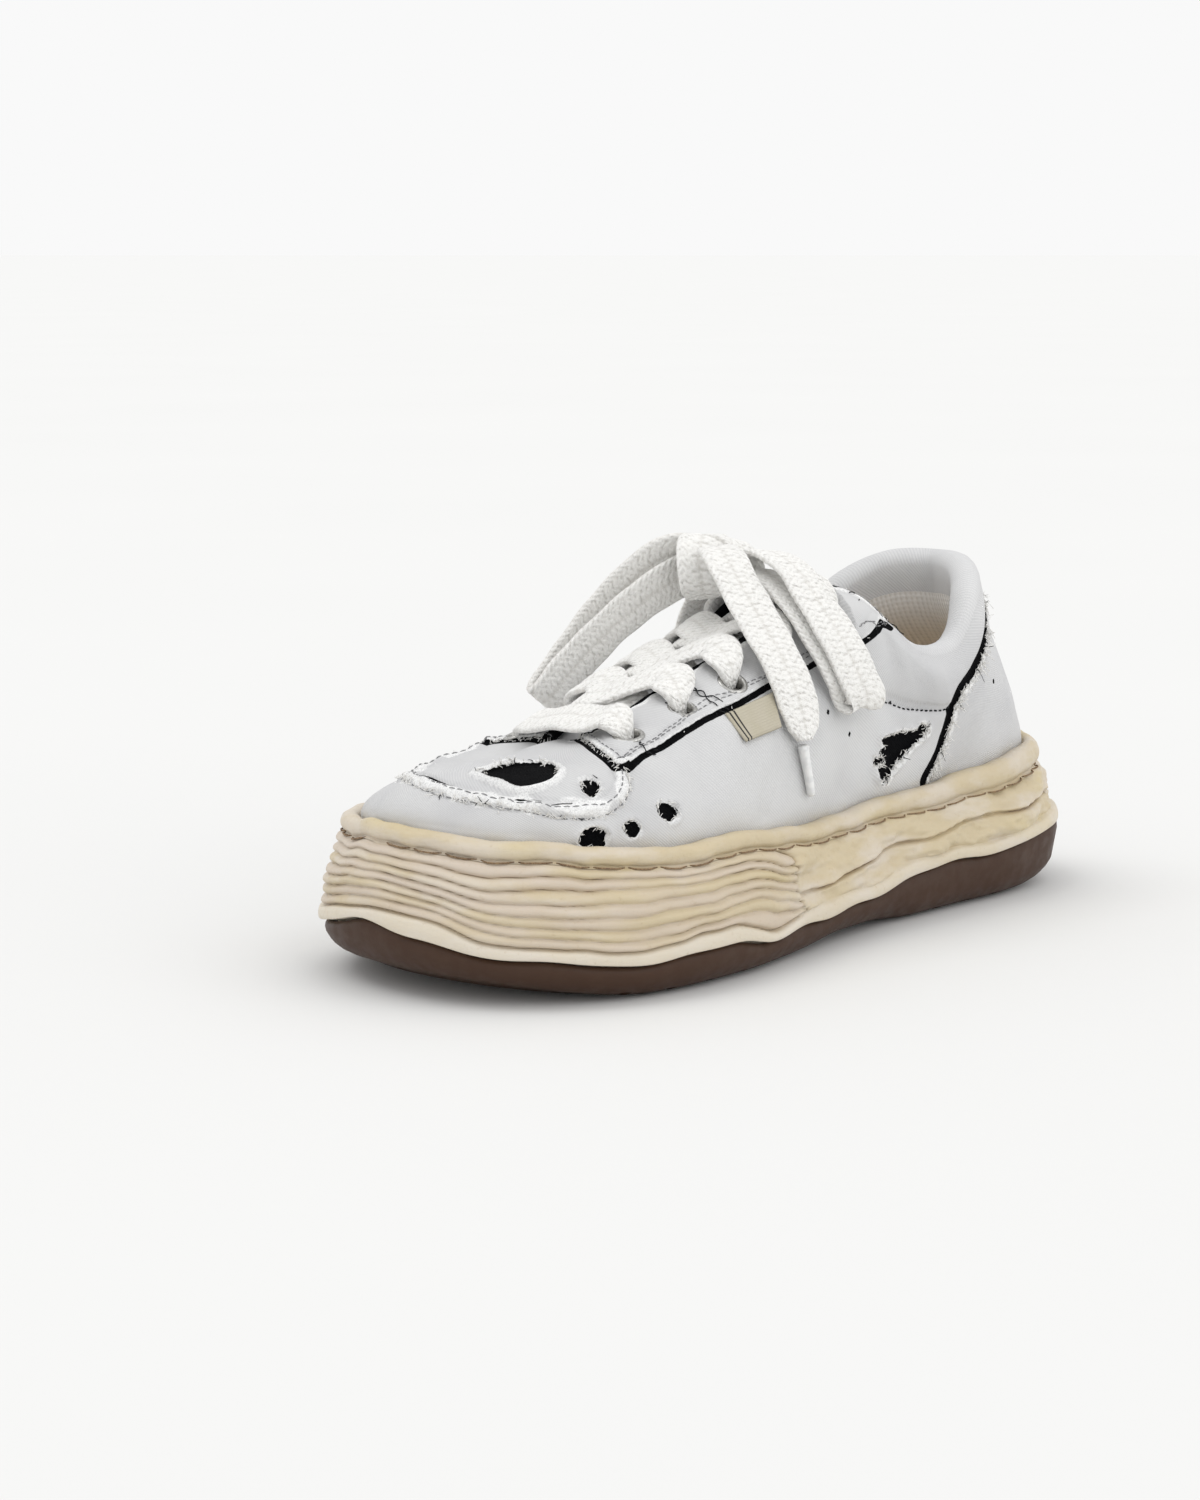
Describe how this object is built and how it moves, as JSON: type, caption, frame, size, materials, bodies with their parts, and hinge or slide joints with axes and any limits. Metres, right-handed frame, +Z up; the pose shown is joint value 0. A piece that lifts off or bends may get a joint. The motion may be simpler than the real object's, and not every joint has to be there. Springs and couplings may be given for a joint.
{
  "type": "worn out sneaker",
  "caption": "Left low-top lace-up sneaker with a hollow canvas upper, padded collar, thick layered midsole and rubber cup outsole, worn and torn.",
  "frame": {"origin": "on the floor under the middle of the sole's box", "axes": "+X from the heel to the toe, +Y to the wearer's left (the outer, little toe side), +Z up"},
  "size_m": [0.2998, 0.1248, 0.1275],
  "materials": {
    "outsole_rubber": "moulded brown rubber, satin",
    "midsole_foam": "cream moulded foam rubber, matte, yellowed with age",
    "canvas": "white cotton canvas over a black backing that shows in the tears",
    "lining": "off-white knitted lining",
    "eyelet_metal": "polished nickel-coloured eyelets",
    "lace": "wide flat woven cotton lace, white",
    "aglet": "clear plastic lace tips",
    "label": "plain cream woven label"
  },
  "bodies": {
    "root": {"outsole": "outsole_rubber", "midsole": "midsole_foam", "upper": "canvas", "tongue": "canvas", "insole": "lining", "lace_bar": "lace", "lace_cross_1": "lace", "lace_cross_2": "lace", "lace_cross_3": "lace", "lace_cross_4": "lace", "lace_knot": "lace", "lace_loop_outer": "lace", "lace_loop_inner": "lace", "lace_end_outer": "lace", "lace_end_inner": "lace", "aglet_outer": "aglet", "aglet_inner": "aglet", "side_label": "label", "eyelet_outer_1": "eyelet_metal", "eyelet_outer_2": "eyelet_metal", "eyelet_outer_3": "eyelet_metal", "eyelet_outer_4": "eyelet_metal", "eyelet_outer_5": "eyelet_metal", "eyelet_inner_1": "eyelet_metal", "eyelet_inner_2": "eyelet_metal", "eyelet_inner_3": "eyelet_metal", "eyelet_inner_4": "eyelet_metal", "eyelet_inner_5": "eyelet_metal"}
  },
  "joints": []
}
